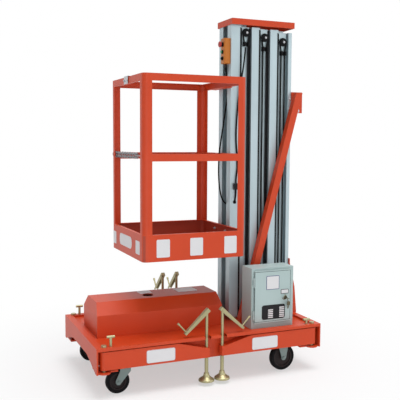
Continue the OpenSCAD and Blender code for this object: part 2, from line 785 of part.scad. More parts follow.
module leg() {
    difference() {
        union() {
            translate([0, 0, foot_gap]) rotate_extrude()
                polygon([[0, 0], [foot_d / 2, 0], [foot_d / 2, 5], [foot_d / 2 - 3, 10],
                    [foot_d / 2 - 12, 16], [foot_d / 2 - 22, 23], [16, 32], [14, foot_h],
                    [0, foot_h]]);
            translate([0, 0, foot_gap]) cylinder(h = leg_top - foot_gap, d = leg_d);
        }
        translate([0, 0, foot_gap + 30]) cylinder(h = leg_top, r = screw_d / 2 + run_fit);
    }
}

module leg_front_left() color([0.70, 0.65, 0.46]) machine() translate([-jack_x, -hinge_y, 0]) leg();
module leg_front_right() color([0.70, 0.65, 0.46]) machine() translate([jack_x, -hinge_y, 0]) leg();
module leg_rear_left() color([0.70, 0.65, 0.46]) machine() translate([-jack_x, hinge_y, 0]) leg();
module leg_rear_right() color([0.70, 0.65, 0.46]) machine() translate([jack_x, hinge_y, 0]) leg();

// Casters
module fork(d, stem, trail) {
    axle_z = d / 2;
    crown_z = d + 6;
    head = stem - crown_z;
    inner = tyre_w / 2 + body_gap;
    for (s = [-1, 1]) translate([0, s * (inner + fork_t / 2) + fork_t / 2, 0])
        rotate([90, 0, 0]) linear_extrude(fork_t)
            polygon([[-trail - 14, axle_z - 5], [-trail - 7, axle_z - 14], [-trail + 7, axle_z - 14],
                [-trail + 15, axle_z - 3], [28, crown_z - 14], [28, crown_z], [-28, crown_z],
                [-32, crown_z - 16], [-trail - 15, axle_z + 8]]);
    translate([-28, -inner - fork_t, crown_z - 0.5]) cube([56, 2 * (inner + fork_t), fork_t]);
    translate([-trail, 0, axle_z]) rotate([90, 0, 0]) {
        cylinder(h = 2 * (inner + fork_t) + 14, d = 10, center = true);
        for (z = [-inner - fork_t - 6, inner + fork_t])
            translate([0, 0, z]) cylinder(h = 6, d = 19, $fn = 6);
    }
    translate([0, 0, crown_z]) rotate_extrude() polygon([[0, 0], [29, 0], [29, 0.3 * head],
        [22, 0.45 * head], [22, head], [0, head]]);
}

module swivel_fork_front() color([0.72, 0.72, 0.74]) machine() translate([swivel_x, -wheel_y, 0])
    fork(swivel_wheel_d, rail_high - pad_gap, swivel_trail);
module swivel_fork_rear() color([0.72, 0.72, 0.74]) machine() translate([swivel_x, wheel_y, 0])
    fork(swivel_wheel_d, rail_high - pad_gap, swivel_trail);
module fixed_forks() color([0.72, 0.72, 0.74]) machine() for (s = [-1, 1])
    translate([fixed_x, s * wheel_y, 0]) fork(fixed_wheel_d, rail_high, 0);

module hub(d) rotate([90, 0, 0]) rotate_extrude() {
    bore = 5 + run_fit;
    w = tyre_w / 2;
    rim = d / 2 - tread_t;
    polygon([[bore, -w], [14, -w], [14, -6], [rim - 8, -6], [rim - 6, -w + 4], [rim, -w + 4],
        [rim, w - 4], [rim - 6, w - 4], [rim - 8, 6], [14, 6], [14, w], [bore, w]]);
}

module tyre(d) rotate([90, 0, 0]) rotate_extrude() {
    w = tyre_w / 2;
    r = d / 2;
    rim = r - tread_t;
    polygon([[rim, -w + 4], [rim + 7, -w], [r - 5, -w + 1], [r, -w + 7], [r, w - 7], [r - 5, w - 1],
        [rim + 7, w], [rim, w - 4]]);
}

module place_wheel(left, s) translate([left ? swivel_x - swivel_trail : fixed_x, s * wheel_y,
    (left ? swivel_wheel_d : fixed_wheel_d) / 2]) children();

module hub_front_left() color([0.6, 0.6, 0.62]) machine() place_wheel(true, -1) hub(swivel_wheel_d);
module hub_rear_left() color([0.6, 0.6, 0.62]) machine() place_wheel(true, 1) hub(swivel_wheel_d);
module hub_front_right() color([0.6, 0.6, 0.62]) machine() place_wheel(false, -1) hub(fixed_wheel_d);
module hub_rear_right() color([0.6, 0.6, 0.62]) machine() place_wheel(false, 1) hub(fixed_wheel_d);
module tyre_front_left() color([0.1, 0.1, 0.1]) machine() place_wheel(true, -1) tyre(swivel_wheel_d);
module tyre_rear_left() color([0.1, 0.1, 0.1]) machine() place_wheel(true, 1) tyre(swivel_wheel_d);
module tyre_front_right() color([0.1, 0.1, 0.1]) machine() place_wheel(false, -1) tyre(fixed_wheel_d);
module tyre_rear_right() color([0.1, 0.1, 0.1]) machine() place_wheel(false, 1) tyre(fixed_wheel_d);

chassis_frame();
deck_tray();
chassis_pins();
power_cover();
power_pack();
cabinet_box();
cabinet_door();
mast_mounts();
mast_section_d();
mast_section_c();
mast_section_b();
mast_section_a();
pulley_set_d();
pulley_set_c();
pulley_set_b();
mast_cap();
basket_frame();
basket_tray();
basket_bracket();
gate_chain();
pendant();
pendant_cord();
platform_cable();
arm_front_left();
arm_front_right();
arm_rear_left();
arm_rear_right();
screw_front_left();
screw_front_right();
screw_rear_left();
screw_rear_right();
leg_front_left();
leg_front_right();
leg_rear_left();
leg_rear_right();
swivel_fork_front();
swivel_fork_rear();
fixed_forks();
hub_front_left();
hub_rear_left();
hub_front_right();
hub_rear_right();
tyre_front_left();
tyre_rear_left();
tyre_front_right();
tyre_rear_right();
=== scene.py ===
# %% [markdown]
# A push-around mast lift, dressed over its imported CAD model.
# The CAD gives every body its shape and place. This script gives each one its finish, and adds
# the small things that CAD leaves out: plates, bolts, buttons, the lock and a floor.

# %% Load the fixed frame
import bpy, math
from mathutils import Matrix, Vector


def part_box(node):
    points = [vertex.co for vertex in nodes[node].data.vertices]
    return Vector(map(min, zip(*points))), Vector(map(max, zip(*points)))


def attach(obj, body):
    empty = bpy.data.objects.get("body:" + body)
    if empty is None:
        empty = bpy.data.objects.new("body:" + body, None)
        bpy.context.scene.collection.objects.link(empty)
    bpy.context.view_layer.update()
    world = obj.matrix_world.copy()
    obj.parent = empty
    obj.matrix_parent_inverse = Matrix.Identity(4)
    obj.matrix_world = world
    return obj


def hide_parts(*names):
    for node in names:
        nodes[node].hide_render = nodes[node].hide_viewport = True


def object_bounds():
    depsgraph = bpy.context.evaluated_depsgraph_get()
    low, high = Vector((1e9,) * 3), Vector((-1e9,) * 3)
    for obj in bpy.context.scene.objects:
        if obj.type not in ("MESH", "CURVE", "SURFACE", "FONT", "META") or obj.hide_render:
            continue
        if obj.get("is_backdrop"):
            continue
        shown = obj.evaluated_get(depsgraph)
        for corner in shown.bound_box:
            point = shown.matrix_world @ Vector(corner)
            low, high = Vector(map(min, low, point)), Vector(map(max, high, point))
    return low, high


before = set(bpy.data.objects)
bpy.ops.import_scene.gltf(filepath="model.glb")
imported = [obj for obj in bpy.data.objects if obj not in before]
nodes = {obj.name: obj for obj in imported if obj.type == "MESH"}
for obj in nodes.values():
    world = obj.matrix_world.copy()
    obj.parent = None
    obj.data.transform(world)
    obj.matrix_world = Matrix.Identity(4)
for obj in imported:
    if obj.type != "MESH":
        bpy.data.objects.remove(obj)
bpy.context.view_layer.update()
base_low, base_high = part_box("chassis_frame")
MIDDLE = Vector(((base_low.x + base_high.x) / 2, (base_low.y + base_high.y) / 2, 0))


def at(x, y, z):
    """A point in millimetres from the middle of the chassis, in the frame's metres."""
    return MIDDLE + Vector((x, y, z)) / 1000


print("nodes", len(nodes), "middle of the chassis", [round(v, 4) for v in MIDDLE])

# %% [markdown]
# The camera stands in front of the cabinet side, a little towards the gate end and above the
# middle of the machine. Its place, turn and lens come from matching the straight edges of the
# chassis, basket and mast, so the render has the same perspective as the real view.

# %% Camera
yaw, pitch, roll = math.radians(23.05), math.radians(4.94), math.radians(0.30)
ahead = Vector((math.sin(yaw) * math.cos(pitch), math.cos(yaw) * math.cos(pitch), -math.sin(pitch)))
level = Vector((math.cos(yaw), -math.sin(yaw), 0))
upward = level.cross(ahead)
side = level * math.cos(roll) + upward * math.sin(roll)
top = upward * math.cos(roll) - level * math.sin(roll)
camera = bpy.data.objects.new("camera", bpy.data.cameras.new("camera"))
bpy.context.scene.collection.objects.link(camera)
camera.data.lens, camera.data.sensor_width = 61.34, 36
camera.matrix_world = Matrix.Translation(at(-1478.1, -3610.5, 1301)) @ Matrix(
    (side, top, -ahead)).transposed().to_4x4()
bpy.context.scene.camera = camera
print("camera", [round(v, 3) for v in camera.location])

# %% [markdown]
# Paint, metal and rubber differ in three ways that a shader can copy: how the colour drifts over
# a large face, how fine the surface texture is, and what shows where an edge is rubbed.
# One recipe holds all three. Noise on Object coordinates drifts the colour, a finer noise drives
# the bump, and a Bevel node finds the edges, because it works on any mesh without unwrapping.

# %% A recipe for hard finishes
def socket_mix(tree, kind="RGBA"):
    mix = tree.nodes.new("ShaderNodeMix")
    mix.data_type = kind
    return mix


def zone_colour(tree, place, tone, low, high, colour):
    """Another colour inside a box: a second material in one mesh, and painted shade inside the basket
    tray.
    """
    middle, half = (low + high) / 2, (high - low) / 2
    offset = tree.nodes.new("ShaderNodeVectorMath")
    offset.operation = "SUBTRACT"
    offset.inputs[1].default_value = middle
    size = tree.nodes.new("ShaderNodeVectorMath")
    size.operation = "ABSOLUTE"
    tree.links.new(place, offset.inputs[0])
    tree.links.new(offset.outputs[0], size.inputs[0])
    parts = tree.nodes.new("ShaderNodeSeparateXYZ")
    tree.links.new(size.outputs[0], parts.inputs[0])
    inside = None
    for axis in range(3):
        test = tree.nodes.new("ShaderNodeMath")
        test.operation = "LESS_THAN"
        test.inputs[1].default_value = half[axis]
        tree.links.new(parts.outputs[axis], test.inputs[0])
        if inside is None:
            inside = test.outputs[0]
            continue
        both = tree.nodes.new("ShaderNodeMath")
        both.operation = "MULTIPLY"
        tree.links.new(inside, both.inputs[0])
        tree.links.new(test.outputs[0], both.inputs[1])
        inside = both.outputs[0]
    mix = socket_mix(tree)
    mix.inputs["B"].default_value = (*colour, 1)
    tree.links.new(inside, mix.inputs["Factor"])
    tree.links.new(tone, mix.inputs["A"])
    return mix.outputs["Result"]


def finish(name, colour, rough, metal=0.0, drift=0.12, edge=None, edge_share=0.5, bump=0.15,
           grain=(90, 90, 90), dirt=0.0, rounding=0.0012, shine=0.35, zone=None):
    material = bpy.data.materials.new(name)
    material.use_nodes = True
    tree = material.node_tree
    shader = tree.nodes["Principled BSDF"]
    shader.inputs["Metallic"].default_value = metal
    shader.inputs["Specular IOR Level"].default_value = shine
    place = tree.nodes.new("ShaderNodeTexCoord").outputs["Object"]

    cloud = tree.nodes.new("ShaderNodeTexNoise")
    cloud.inputs["Scale"].default_value = 5
    cloud.inputs["Detail"].default_value = 6
    tree.links.new(place, cloud.inputs["Vector"])
    shade = socket_mix(tree)
    shade.inputs["A"].default_value = (*[c * (1 - drift) for c in colour], 1)
    shade.inputs["B"].default_value = (*[min(1, c * (1 + drift)) for c in colour], 1)
    tree.links.new(cloud.outputs["Fac"], shade.inputs["Factor"])
    tone = shade.outputs["Result"]

    stretch = tree.nodes.new("ShaderNodeMapping")
    stretch.inputs["Scale"].default_value = grain
    tree.links.new(place, stretch.inputs["Vector"])
    fine = tree.nodes.new("ShaderNodeTexNoise")
    fine.inputs["Scale"].default_value = 4
    fine.inputs["Detail"].default_value = 3
    tree.links.new(stretch.outputs["Vector"], fine.inputs["Vector"])

    if zone:
        tone = zone_colour(tree, place, tone, *zone)
    if dirt:
        spots = tree.nodes.new("ShaderNodeMapRange")
        spots.inputs["From Min"].default_value, spots.inputs["From Max"].default_value = 0.55, 0.8
        tree.links.new(cloud.outputs["Fac"], spots.inputs["Value"])
        strength = tree.nodes.new("ShaderNodeMath")
        strength.operation = "MULTIPLY"
        strength.inputs[1].default_value = dirt
        tree.links.new(spots.outputs["Result"], strength.inputs[0])
        soil = socket_mix(tree)
        soil.inputs["B"].default_value = (0.16, 0.13, 0.11, 1)
        tree.links.new(strength.outputs[0], soil.inputs["Factor"])
        tree.links.new(tone, soil.inputs["A"])
        tone = soil.outputs["Result"]

    round_off = tree.nodes.new("ShaderNodeBevel")
    round_off.samples = 4
    round_off.inputs["Radius"].default_value = rounding
    if edge:
        flat = tree.nodes.new("ShaderNodeNewGeometry")
        angle = tree.nodes.new("ShaderNodeVectorMath")
        angle.operation = "DOT_PRODUCT"
        tree.links.new(round_off.outputs["Normal"], angle.inputs[0])
        tree.links.new(flat.outputs["Normal"], angle.inputs[1])
        rub = tree.nodes.new("ShaderNodeMapRange")
        rub.inputs["From Min"].default_value, rub.inputs["From Max"].default_value = 0.985, 0.80
        rub.inputs["To Max"].default_value = edge_share
        tree.links.new(angle.outputs["Value"], rub.inputs["Value"])
        worn = socket_mix(tree)
        worn.inputs["B"].default_value = (*edge, 1)
        tree.links.new(rub.outputs["Result"], worn.inputs["Factor"])
        tree.links.new(tone, worn.inputs["A"])
        tone = worn.outputs["Result"]
    tree.links.new(tone, shader.inputs["Base Color"])

    gloss = tree.nodes.new("ShaderNodeMapRange")
    gloss.inputs["To Min"].default_value = rough * 0.85
    gloss.inputs["To Max"].default_value = min(1, rough * 1.2)
    tree.links.new(fine.outputs["Fac"], gloss.inputs["Value"])
    tree.links.new(gloss.outputs["Result"], shader.inputs["Roughness"])
    relief = tree.nodes.new("ShaderNodeBump")
    relief.inputs["Strength"].default_value = bump
    relief.inputs["Distance"].default_value = 0.0006
    tree.links.new(fine.outputs["Fac"], relief.inputs["Height"])
    tree.links.new(round_off.outputs["Normal"], relief.inputs["Normal"])
    tree.links.new(relief.outputs["Normal"], shader.inputs["Normal"])
    return material


# %% [markdown]
# The machine is powder coated in orange-red. Powder coat has a faint orange-peel surface and a
# low gloss, and it goes paler where a sheet edge is rubbed. The mast is anodised aluminium, whose
# die lines run along the extrusion, so its grain is stretched along Z.

# %% The finishes
PAINT, METAL = (0.60, 0.054, 0.010), (0.46, 0.565, 0.60)
coat = dict(rough=0.42, edge=(0.78, 0.17, 0.06), edge_share=0.55, bump=0.10, dirt=0.10)
extrusion = dict(rough=0.42, metal=0.55, drift=0.10, edge=(0.70, 0.76, 0.78), edge_share=0.6,
                 bump=0.08, grain=(260, 260, 1.5))
orange = finish("orange_powder_coat", PAINT, **coat)
# Inside the toe boards the tray is painted a darker maroon, as painted shade inside the basket.
orange_tray_and_shade = finish("orange_tray_coat_and_shade", PAINT, **coat,
                     zone=(at(-379, -286, 672), at(205, 286, 809), (0.42, 0.060, 0.030)))
cabinet_grey = finish("cabinet_powder_coat", (0.43, 0.545, 0.535), 0.42, edge=(0.62, 0.68, 0.66),
                      bump=0.12, drift=0.05)
anodised = finish("anodised_mast", METAL, **extrusion)
anodised_clip = finish("anodised_mast_and_clip", METAL, **extrusion,
                       zone=(at(225, -96, 1020), at(270, -80.3, 1064), (0.010, 0.010, 0.012)))
yellow_zinc = finish("yellow_zinc", (0.40, 0.37, 0.21), 0.36, metal=0.75, drift=0.35,
                     edge=(0.72, 0.70, 0.55), bump=0.06, dirt=0.25)
bright_zinc = finish("bright_zinc", (0.50, 0.51, 0.53), 0.36, metal=0.85, drift=0.2,
                     edge=(0.8, 0.8, 0.82), bump=0.08, dirt=0.2)
dull_zinc = finish("dull_zinc", (0.20, 0.26, 0.25), 0.5, metal=0.35, drift=0.25,
                   edge=(0.42, 0.48, 0.46), bump=0.12, dirt=0.25)
key_bronze = finish("key_bronze", (0.13, 0.115, 0.07), 0.34, metal=0.8, drift=0.3,
                    edge=(0.55, 0.5, 0.36), bump=0.05)
chain_zinc = finish("chain_zinc", (0.26, 0.27, 0.28), 0.38, metal=0.8, drift=0.3,
                    edge=(0.6, 0.6, 0.62), bump=0.06, dirt=0.2)
# Black plastic of the pulleys, collars and buttons; the same dark colour is painted shade in the
# mast's grooves.
black_moulding_and_shade = finish("black_moulding_and_shade", (0.004, 0.004, 0.005), 0.5, edge=(0.04, 0.04, 0.045),
                        edge_share=0.4, bump=0.2, shine=0.12)
cable_jacket = finish("cable_jacket", (0.004, 0.004, 0.005), 0.55, bump=0.12, drift=0.2, shine=0.12)
tyre_black = finish("tyre_black", (0.006, 0.006, 0.007), 0.65, bump=0.3, drift=0.25, dirt=0.04,
                    edge=(0.03, 0.028, 0.026), rounding=0.002, shine=0.10)
hub_iron = finish("hub_iron", (0.020, 0.014, 0.014), 0.55, bump=0.5, drift=0.3, dirt=0.1,
                  edge=(0.09, 0.06, 0.055), shine=0.2)
cast_grey = finish("cast_grey", (0.09, 0.095, 0.10), 0.6, bump=0.4, drift=0.2)
amber_shell = finish("amber_shell", (0.56, 0.18, 0.025), 0.4, edge=(0.85, 0.42, 0.14), bump=0.1,
                     zone=(at(170, -75, 1700), at(215, 0, 1739.6), (0.010, 0.010, 0.011)))
plate_white = finish("plate_white", (0.72, 0.72, 0.73), 0.35, drift=0.03, bump=0.03)
plate_black = finish("plate_black", (0.012, 0.012, 0.014), 0.35, drift=0.1, bump=0.03, shine=0.2)
plate_blue = finish("plate_blue", (0.05, 0.07, 0.20), 0.35, drift=0.05, bump=0.03)
signal_red = finish("signal_red", (0.46, 0.045, 0.035), 0.38, drift=0.05, bump=0.05)
signal_green = finish("signal_green", (0.02, 0.22, 0.07), 0.35, drift=0.05, bump=0.05)
print("finishes", len(bpy.data.materials))

# %% [markdown]
# Most nodes are painted. The rest go by name: the start of a node's name tells what kind of piece
# it is, so that all sections, pulleys, screws, legs, hubs and tyres are found by one short table.

# %% Give each CAD node its finish
node_finish = {
    "cabinet_box": cabinet_grey, "cabinet_door": cabinet_grey, "power_pack": cast_grey,
    "pendant": amber_shell, "pendant_cord": cable_jacket, "platform_cable": cable_jacket,
    "gate_chain": chain_zinc, "chassis_pins": yellow_zinc, "basket_tray": orange_tray_and_shade,
}
by_start = [("mast_section", anodised), ("mast_section_a", anodised_clip),
            ("pulley_set", black_moulding_and_shade), ("screw_", yellow_zinc), ("leg_", yellow_zinc),
            ("swivel_fork", dull_zinc), ("fixed_forks", dull_zinc), ("hub_", hub_iron),
            ("tyre_", tyre_black)]
for name, node in nodes.items():
    chosen = node_finish.get(name)
    for start, material in by_start:
        if name.startswith(start):
            chosen = material
    chosen = chosen or orange
    node.data.materials.clear()
    node.data.materials.append(chosen)
print("finished", len(nodes), "CAD nodes")

# %% [markdown]
# The two cables are soft. Their tubes are already in the CAD model.


# %% [markdown]
# Flat plates and stickers sit on the arms, the toe boards, the cabinet and the cover. All are
# blank. Each starts as a thin block, whose four upright corners are bevelled round. The front
# face is then inset, so that a border can have its own colour.

# %% Helpers for new pieces
def deselect():
    bpy.ops.object.select_all(action="DESELECT")


def settle(piece, material, body, matrix):
    """Bake the place into the mesh, smooth the faces, and let the piece ride on its body."""
    piece.data.transform(matrix @ piece.matrix_world)
    piece.matrix_world = Matrix.Identity(4)
    if not piece.data.materials:
        piece.data.materials.append(material)
    deselect()
    piece.select_set(True)
    bpy.context.view_layer.objects.active = piece
    bpy.ops.object.shade_smooth_by_angle(angle=math.radians(35))
    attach(piece, body)
    return piece


def facing(centre, normal, up=(0, 0, 1)):
    """A matrix that puts local X across, Y up and Z out of a surface."""
    z = Vector(normal).normalized()
    x = Vector(up).cross(z).normalized()
    y = z.cross(x)
    return Matrix.Translation(centre) @ Matrix((x, y, z)).transposed().to_4x4()


def blank_plate(name, centre, normal, wide, high, body, face, rim=None, border=3, radius=6,
                thick=1.0, up=(0, 0, 1)):
    deselect()
    bpy.ops.mesh.primitive_cube_add(size=1)
    piece = bpy.context.object
    piece.name = name
    piece.data.transform(Matrix.Diagonal((wide / 1000, high / 1000, thick / 1000, 1)))
    bpy.ops.object.mode_set(mode="EDIT")
    bpy.ops.mesh.select_mode(type="EDGE")
    bpy.ops.mesh.select_all(action="DESELECT")
    bpy.ops.object.mode_set(mode="OBJECT")
    points = piece.data.vertices
    for edge in piece.data.edges:
        a, b = (points[i].co for i in edge.vertices)
        edge.select = abs(a.z - b.z) > 1e-6
    bpy.ops.object.mode_set(mode="EDIT")
    bpy.ops.mesh.bevel(offset=radius / 1000, segments=4)
    bpy.ops.mesh.select_mode(type="FACE")
    bpy.ops.mesh.select_all(action="DESELECT")
    bpy.ops.object.mode_set(mode="OBJECT")
    for polygon in piece.data.polygons:
        polygon.select = polygon.normal.z > 0.9
    bpy.ops.object.mode_set(mode="EDIT")
    bpy.ops.mesh.inset(thickness=border / 1000, depth=0)
    bpy.ops.object.mode_set(mode="OBJECT")
    piece.data.materials.append(rim or face)
    piece.data.materials.append(face)
    for polygon in piece.data.polygons:
        polygon.material_index = 1 if polygon.select else 0
    return settle(piece, face, body, facing(centre + Vector(normal).normalized() * thick / 2000,
                                            normal, up))


# %% [markdown]
# The toe boards carry three plates in front and three at the gate end. One more is on each front
# arm, and each rides on its arm.

# %% Plates on the arms and the toe boards
toe_front, toe_left = -289, -382
for name, x, wide in (("arm_plate_left", -312, 157), ("arm_plate_right", 296, 159)):
    blank_plate(name, at(x, -367, 196), (0, -1, 0), wide, 68, "arm_front_" + name[10:],
                plate_white, bright_zinc, border=2, radius=10)
for i, x in enumerate((-272, -83, 117)):
    blank_plate(f"toe_plate_front_{i}", at(x, toe_front, 740), (0, -1, 0), 74, 95, "stage_a",
                plate_white, border=4)
for name, y, z, wide, high, radius in (("wide", 23, 745, 226, 66, 26), ("rear", 236, 738, 58, 72, 6),
                                       ("front", -196, 738, 70, 72, 6)):
    blank_plate("toe_plate_left_" + name, at(toe_left, y, z), (-1, 0, 0), wide, high, "stage_a",
                plate_white, border=4, radius=radius)

# %% [markdown]
# The cabinet door has a notice plate, a small plate by the switch and a black data plate. Rows of
# pale fields stand for its entries, and nothing is written in them.

# %% Plates on the cabinet door
door = -305
for name, x, z, wide, high, face, rim in (
        ("notice", 375, 513, 82, 78, plate_white, plate_blue),
        ("data", 381, 346, 148, 82, plate_black, plate_black),
        ("small", 452, 457, 50, 26, plate_white, plate_black)):
    blank_plate("door_plate_" + name, at(x, door, z), (0, -1, 0), wide, high, "cabinet_door",
                face, rim, border=3, radius=13 if name == "data" else 4)

for column, first in ((362, 5), (434, 6)):
    for row in range(first):
        blank_plate(f"data_field_{column}_{row}", at(column, door - 1, 316 + 10.5 * row), (0, -1, 0),
                    31, 7, "cabinet_door", plate_white, border=0.5, radius=1, thick=0.4)

# %% [markdown]
# Hex screws hold the plates, the mast foot and the bracket. One screw is a six-sided cylinder
# with bevelled edges and a round washer under it. Each screw is built anew and gets a mesh of its
# own.

# %% Hex screws
def hex_screw(name, centre, normal, across, body, material=None):
    deselect()
    size = across / 1000
    bpy.ops.mesh.primitive_cylinder_add(vertices=6, radius=size * 0.577, depth=size * 0.6,
                                        location=(0, 0, size * 0.42))
    head = bpy.context.object
    head.name = name
    bevel = head.modifiers.new("edges", "BEVEL")
    bevel.width, bevel.segments = size * 0.06, 2
    bpy.ops.object.modifier_apply(modifier="edges")
    bpy.ops.mesh.primitive_cylinder_add(vertices=24, radius=size * 0.95, depth=size * 0.12,
                                        location=(0, 0, size * 0.06))
    washer = bpy.context.object
    deselect()
    washer.select_set(True)
    head.select_set(True)
    bpy.context.view_layer.objects.active = head
    bpy.ops.object.join()
    return settle(head, material or bright_zinc, body, facing(centre, normal, (0.02, 0.01, 1)))


print("screw helper ready")

# %% [markdown]
# One table gives each screw its place, the way it faces, its size and its body. Most of them come
# in pairs, one in front and one at the rear.

# %% Screws on the machine
screws = [("bracket_low", (644, -90, 1483), (0, -1, 0), 13, "chassis"),
          ("bracket_high", (642, -90, 1575), (0, -1, 0), 13, "chassis"),
          ("bracket_low_rear", (644, 90, 1483), (0, 1, 0), 13, "chassis"),
          ("bracket_high_rear", (642, 90, 1575), (0, 1, 0), 13, "chassis")]
for s, end in ((-1, "front"), (1, "rear")):
    for i, x in enumerate((325, 440, 560)):
        screws.append((f"foot_{end}_{i}", (x, s * 106, 267), (0, 0, 1), 14, "chassis"))
    for i, z in enumerate((300, 400, 500)):
        screws.append((f"gusset_{end}_{i}", (622, s * 90, z), (0, s, 0), 11, "chassis"))
    for i, z in enumerate((1490, 1550)):
        screws.append((f"clamp_{end}_{i}", (593, s * 86, z), (0, s, 0), 10, "chassis"))
for i, y in enumerate((-38, 110)):
    screws.append((f"toe_inside_{i}", (204, y, 778), (-1, 0, 0), 12, "stage_a"))
for i, (x, z) in enumerate(((308, 1917), (428.5, 1896), (549, 1878))):
    screws.append((f"pulley_{i}", (x, -86.2, z), (0, -1, 0), 7,
                   ("stage_b", "stage_c", "chassis")[i]))
for name, place, normal, across, body in screws:
    hex_screw("screw_" + name, at(*place), normal, across, body)
print("hex screws", len(screws))

# %% [markdown]
# Buttons and the lock are turned parts. A filled circle is extruded and scaled in steps, the
# same way a lathe would cut the shoulders.

# %% Turned pieces
def turned(name, centre, normal, steps, body, material, sides=32):
    """steps are (radius, height) in millimetres, from the surface outwards."""
    deselect()
    first = steps[0][0] / 1000
    bpy.ops.mesh.primitive_circle_add(vertices=sides, radius=first, fill_type="NGON")
    piece = bpy.context.object
    piece.name = name
    bpy.ops.object.mode_set(mode="EDIT")
    bpy.ops.mesh.select_all(action="SELECT")
    radius, height = first, 0.0
    for r, h in steps[1:]:
        r, h = r / 1000, h / 1000
        bpy.ops.mesh.extrude_region_move(TRANSFORM_OT_translate={"value": (0, 0, h - height)})
        bpy.ops.transform.resize(value=(r / radius, r / radius, 1))
        radius, height = r, h
    bpy.ops.mesh.select_all(action="SELECT")
    bpy.ops.mesh.normals_make_consistent(inside=False)
    bpy.ops.object.mode_set(mode="OBJECT")
    return settle(piece, material, body, facing(centre, normal))


# %% [markdown]
# The pendant control has a stop button and two smaller buttons, each in a collar. The switch on the
# door and the sleeve where the cord leaves the pendant are turned in the same way.

# %% Buttons, switch and sleeve
pendant_face = 175
turned("stop_collar", at(pendant_face, -42, 1848), (-1, 0, 0),
       [(13, 0), (13, 6), (9, 8), (9, 12)], "stage_a", black_moulding_and_shade)
turned("stop_button", at(pendant_face - 12, -42, 1848), (-1, 0, 0),
       [(8, 0), (15, 1), (17, 4), (16.5, 8), (13, 11), (7, 12.5)], "stage_a", signal_red)
for name, z, tint in (("up", 1806, signal_green), ("down", 1770, black_moulding_and_shade)):
    turned(f"{name}_collar", at(pendant_face, -42, z), (-1, 0, 0),
           [(11, 0), (11, 4), (9, 5)], "stage_a", black_moulding_and_shade)
    turned(f"{name}_button", at(pendant_face - 5, -42, z), (-1, 0, 0),
           [(8, 0), (8, 4), (6.5, 5.5)], "stage_a", tint)
turned("key_switch", at(450, door, 425), (0, -1, 0),
       [(15, 0), (15, 2), (11.5, 3), (11.5, 12), (9, 14)], "cabinet_door", key_bronze)
turned("key_barrel", at(450, door - 13, 425), (0, -1, 0),
       [(6.5, 0), (6.5, 2), (4, 2.5), (4, 4)], "cabinet_door", black_moulding_and_shade)
turned("cord_sleeve", at(200, -28, 1724), (0.18, 0.04, -1),
       [(7.5, 0), (7, 8), (6, 20), (5, 30)], "stage_a", black_moulding_and_shade, sides=20)

# %% [markdown]
# Two keys on a ring hang from the key switch. A key is a thin block: one end is inset, narrowed
# and drawn out to make the blade. The ring is a torus.

# %% Keys
def key(name, centre, normal, up, long):
    deselect()
    bpy.ops.mesh.primitive_cube_add(size=1)
    piece = bpy.context.object
    piece.name = name
    piece.data.transform(Matrix.Diagonal((0.021, 0.023, 0.0024, 1)))
    bpy.ops.object.mode_set(mode="EDIT")
    bpy.ops.mesh.select_mode(type="FACE")
    bpy.ops.mesh.select_all(action="DESELECT")
    bpy.ops.object.mode_set(mode="OBJECT")
    for face in piece.data.polygons:
        face.select = face.normal.y < -0.9
    bpy.ops.object.mode_set(mode="EDIT")
    bpy.ops.mesh.inset(thickness=0.0004, depth=0)
    bpy.ops.transform.resize(value=(0.45, 1, 1))
    bpy.ops.mesh.extrude_region_move(TRANSFORM_OT_translate={"value": (0, -long / 1000, 0)})
    bpy.ops.object.mode_set(mode="OBJECT")
    edges = piece.modifiers.new("edges", "BEVEL")
    edges.width, edges.segments = 0.0006, 2
    bpy.ops.object.modifier_apply(modifier="edges")
    return settle(piece, key_bronze, "cabinet_door", facing(centre, normal, up))


key("key_in_lock", at(450, door - 28, 425), (0.2, 0, 1), (0, -1, 0), 10)
key("key_spare", at(471, door - 12, 389), (0.25, -1, 0), (0.15, 0, 1), 18)
deselect()
bpy.ops.mesh.primitive_torus_add(major_radius=0.014, minor_radius=0.0012, major_segments=32,
                                 minor_segments=8)
ring = bpy.context.object
ring.name = "key_ring"
settle(ring, key_bronze, "cabinet_door", facing(at(462, door - 20, 411), (0.9, -0.45, 0.2)))
print("keys", 2)

# %% [markdown]
# Dark bars fill the narrow slots on both sides of each pulley strip, and thin dark bars lie on
# the edges beside them, as painted shade for the deep grooves. Each is a long bar whose edges
# are rounded by a bevel. The clearance to the next section stays, so the mast can slide.

# %% Bars with rounded edges
def rounded_bar(name, low, high, body, material, radius=1.0):
    deselect()
    bpy.ops.mesh.primitive_cube_add(size=1)
    piece = bpy.context.object
    piece.name = name
    a, b = Vector(low) / 1000, Vector(high) / 1000
    piece.data.transform(Matrix.Translation((a + b) / 2) @ Matrix.Diagonal((*(b - a), 1)))
    edges = piece.modifiers.new("edges", "BEVEL")
    edges.width, edges.segments, edges.limit_method = radius / 1000, 3, "NONE"
    bpy.ops.object.modifier_apply(modifier="edges")
    return settle(piece, material, body, Matrix.Translation(MIDDLE))


# %% [markdown]
# Each joint of the mast has the same set of shade bars in front and at the rear. The lip's bar
# rides on the section that the pulley strip slides in. The fixed section's right edge is left bare.

